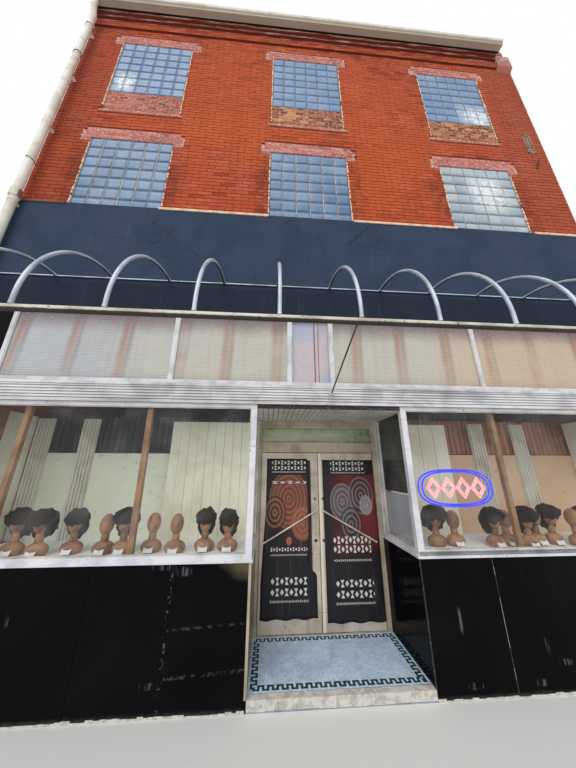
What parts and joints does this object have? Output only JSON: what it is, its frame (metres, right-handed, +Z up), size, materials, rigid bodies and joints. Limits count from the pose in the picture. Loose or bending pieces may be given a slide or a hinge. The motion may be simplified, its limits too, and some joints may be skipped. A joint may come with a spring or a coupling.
{
  "type": "brick row shop building",
  "caption": "Brick row building with a hollow ground-floor shop, a recessed entrance with paired doors, glass-block upper windows, a stucco fascia and a bare awning frame.",
  "frame": {"origin": "Middle of the plan on the level that the walls rest on", "axes": "+Z up, the street front faces -Y, +X to the right of it"},
  "size_m": [8.17, 13.3119, 11.8874],
  "materials": {
    "brick": "weathered red brick in thin dark joints",
    "party_brick": "plain common brick",
    "patched_brick": "faded pink brick pointed in white",
    "infill_brick": "buff brick with wide joints",
    "cement": "rough grey cement",
    "stucco": "painted dark blue stucco, matt",
    "glass_block": "pressed glass block, rippled",
    "plate_glass": "clear plate glass",
    "ribbed_glass": "ribbed translucent glass, stained",
    "structural_glass": "black glass panel, glossy",
    "zinc_sheet": "painted sheet metal, dusty",
    "white_metal": "white painted metal, streaked",
    "roof_metal": "standing-seam sheet, dull",
    "galvanised": "galvanised tube, weathered",
    "anodised": "champagne anodised metal",
    "mill_aluminium": "dull silver trim",
    "timber": "plain boards",
    "display_board": "painted board",
    "ceiling_board": "grey painted boards",
    "steel_beam": "painted steel",
    "concrete": "cast slab",
    "core_board": "framed board core",
    "mosaic": "small pale blue tiles with a dark key border"
  },
  "bodies": {
    "shop": {"left_party_wall": "party_brick", "right_party_wall": "party_brick", "front_wall": "brick", "back_wall": "party_brick", "shopfront_piers": "brick", "shopfront_beam": "steel_beam", "front_lintels": "patched_brick", "front_window_infill": "infill_brick", "front_cornice": "brick", "cornice_end_patch": "cement", "front_gutter": "zinc_sheet", "back_gutter": "zinc_sheet", "downspout": "white_metal", "front_roof_slope": "roof_metal", "back_roof_slope": "roof_metal", "ground_floor": "concrete", "first_floor": "timber", "second_floor": "timber", "middle_glass_blocks": "glass_block", "top_glass_blocks": "glass_block", "back_glass_blocks": "glass_block", "fascia_panel": "stucco", "fascia_trim": "zinc_sheet", "awning_wall_bar": "galvanised", "awning_front_bar": "galvanised", "awning_bows": "galvanised", "transom_frame": "white_metal", "transom_ribbed_glass": "ribbed_glass", "shopfront_band": "white_metal", "left_window_frame": "mill_aluminium", "right_window_frame": "mill_aluminium", "shop_window_glass": "plate_glass", "left_bulkhead": "core_board", "right_bulkhead": "core_board", "bulkhead_panels": "structural_glass", "display_cases": "display_board", "recess_ceiling": "ceiling_board", "recess_floor": "mosaic", "door_frame": "anodised"},
    "left_leaf": {"left_door": "anodised", "left_door_glass": "plate_glass", "left_door_bar": "mill_aluminium"},
    "right_leaf": {"right_door": "anodised", "right_door_glass": "plate_glass", "right_door_bar": "mill_aluminium"}
  },
  "joints": [
    {"name": "left_door_swing", "type": "hinge", "parent": "shop", "child": "left_leaf", "pos_m": [-0.755, -5.15, 0.08], "axis": [0, 0, -1], "range_deg": [0, 80]},
    {"name": "right_door_swing", "type": "hinge", "parent": "shop", "child": "right_leaf", "pos_m": [0.735, -5.15, 0.08], "axis": [0, 0, 1], "range_deg": [0, 80]}
  ]
}
